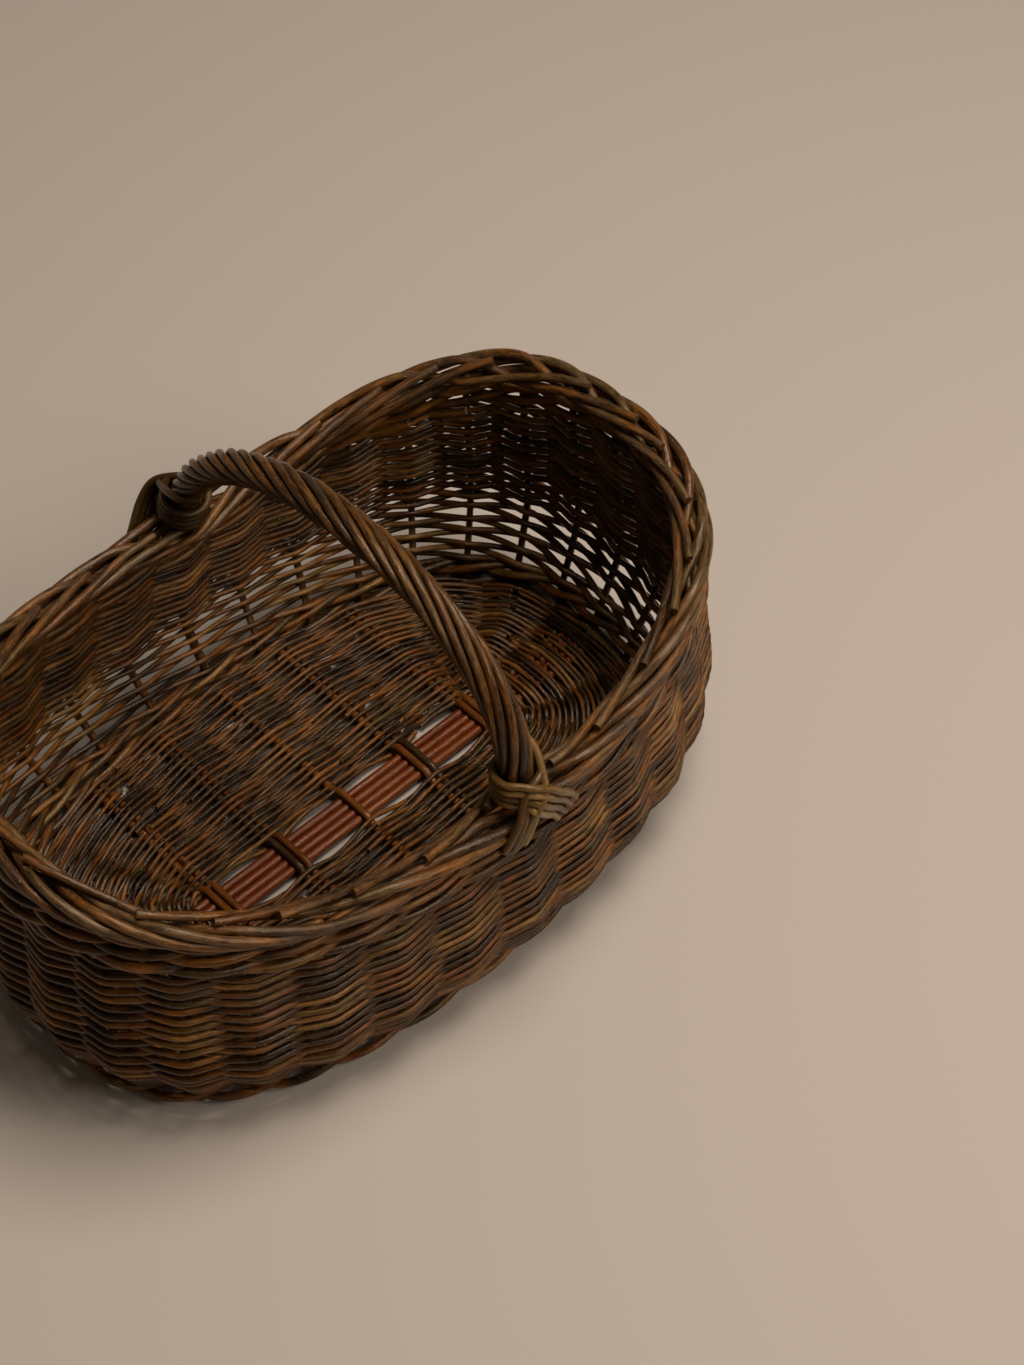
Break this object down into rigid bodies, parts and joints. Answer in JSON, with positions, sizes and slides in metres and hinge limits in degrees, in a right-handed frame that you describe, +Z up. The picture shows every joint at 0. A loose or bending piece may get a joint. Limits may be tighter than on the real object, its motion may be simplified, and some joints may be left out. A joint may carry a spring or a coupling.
{
  "type": "handled willow basket",
  "caption": "Oval stake-and-strand willow basket with an open foot band, close woven walls, a rolled border and a fixed roped handle across the middle.",
  "frame": {"origin": "under the middle of the rim, on the surface that the basket stands on", "axes": "+X along the basket's length, +Y across it, along the span of the handle, +Z up"},
  "size_m": [0.4928, 0.33, 0.2865],
  "materials": {
    "weaver_willow": "unpeeled willow weavers, dark brown bark, satin",
    "stake_willow": "unpeeled willow stakes, brown to red-brown bark, satin",
    "base_stick": "red-brown willow sticks, smooth, slightly glossy",
    "cross_stick": "amber-brown split willow sticks, smooth, slightly glossy",
    "handle_willow": "unpeeled willow rods laid as rope, satin",
    "lashing_willow": "smooth olive-tan willow rods"
  },
  "bodies": {
    "root": {"base_long_stick_1": "base_stick", "base_long_stick_2": "base_stick", "base_long_stick_3": "base_stick", "base_long_stick_4": "base_stick", "base_cross_stick_1": "cross_stick", "base_cross_stick_2": "cross_stick", "base_cross_stick_3": "cross_stick", "base_cross_stick_4": "cross_stick", "base_cross_stick_5": "cross_stick", "base_cross_stick_6": "cross_stick", "base_cross_stick_7": "cross_stick", "base_cross_stick_8": "cross_stick", "base_cross_stick_9": "cross_stick", "base_weave": "weaver_willow", "upsett_wale": "weaver_willow", "open_weave": "weaver_willow", "side_rand": "weaver_willow", "top_wale": "weaver_willow", "stake_01": "stake_willow", "stake_02": "stake_willow", "stake_03": "stake_willow", "stake_04": "stake_willow", "stake_05": "stake_willow", "stake_06": "stake_willow", "stake_07": "stake_willow", "stake_08": "stake_willow", "stake_09": "stake_willow", "stake_10": "stake_willow", "stake_11": "stake_willow", "stake_12": "stake_willow", "stake_13": "stake_willow", "stake_14": "stake_willow", "stake_15": "stake_willow", "stake_16": "stake_willow", "stake_17": "stake_willow", "stake_18": "stake_willow", "stake_19": "stake_willow", "stake_20": "stake_willow", "stake_21": "stake_willow", "stake_22": "stake_willow", "stake_23": "stake_willow", "stake_24": "stake_willow", "stake_25": "stake_willow", "stake_26": "stake_willow", "stake_27": "stake_willow", "stake_28": "stake_willow", "stake_29": "stake_willow", "stake_30": "stake_willow", "handle_bow": "handle_willow", "handle_strand_1": "handle_willow", "handle_strand_2": "handle_willow", "handle_strand_3": "handle_willow", "handle_strand_4": "handle_willow", "handle_strand_5": "handle_willow", "handle_strand_6": "handle_willow", "handle_strand_7": "handle_willow", "handle_strand_8": "handle_willow", "handle_strand_9": "handle_willow", "lashing_1": "lashing_willow", "lashing_2": "lashing_willow"}
  },
  "joints": []
}
